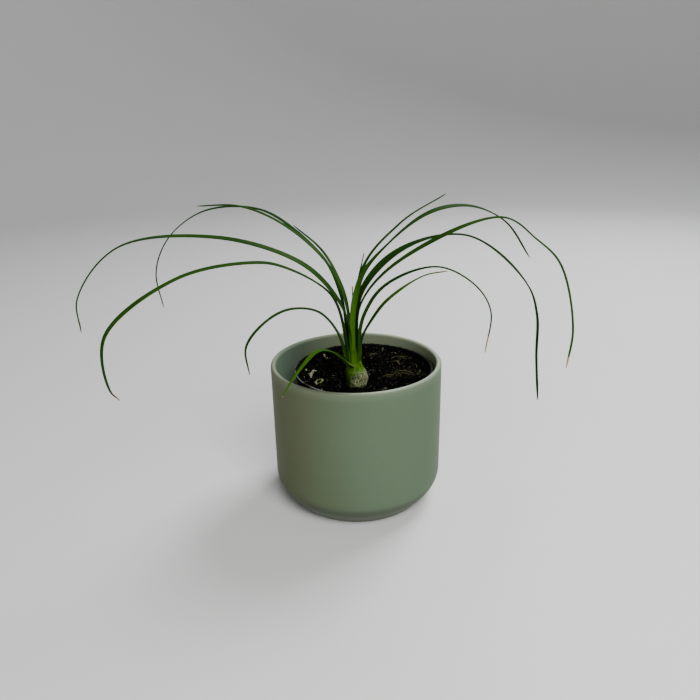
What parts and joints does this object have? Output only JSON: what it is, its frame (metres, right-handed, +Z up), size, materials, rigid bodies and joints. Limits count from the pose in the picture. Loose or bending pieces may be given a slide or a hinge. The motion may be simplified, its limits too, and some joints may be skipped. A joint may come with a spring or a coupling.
{
  "type": "potted ponytail palm",
  "caption": "Young ponytail palm with a swollen corky base and arching strap leaves, growing in a nursery pot of soil inside a round glazed ceramic cover pot.",
  "frame": {"origin": "centre of the flat underside of the ceramic cover pot, on the surface that it stands on", "axes": "+Z up along the pot's axis, +X to the right along the widest spread of the leaves, +Y to the back, away from the side where the plant stands near the front"},
  "size_m": [0.3066, 0.1943, 0.2092],
  "materials": {
    "sage_glaze": "satin sage green glaze",
    "black_plastic": "thin black nursery pot plastic, slightly shiny",
    "potting_mix": "damp dark potting mix with bark and pale grit",
    "cork_and_neck": "grey-brown corky bark turning to a smooth pale green neck",
    "leaf_green": "deep green satin leaf with fine lengthwise veins"
  },
  "bodies": {
    "root": {"ceramic_pot": "sage_glaze", "nursery_pot": "black_plastic", "soil": "potting_mix", "caudex": "cork_and_neck", "leaf_left_1": "leaf_green", "leaf_left_2": "leaf_green", "leaf_left_3": "leaf_green", "leaf_left_4": "leaf_green", "leaf_left_5": "leaf_green", "leaf_left_6": "leaf_green", "leaf_left_7": "leaf_green", "leaf_right_1": "leaf_green", "leaf_right_2": "leaf_green", "leaf_right_3": "leaf_green", "leaf_right_4": "leaf_green", "leaf_right_5": "leaf_green", "leaf_right_6": "leaf_green", "leaf_right_7": "leaf_green", "leaf_centre": "leaf_green"}
  },
  "joints": []
}
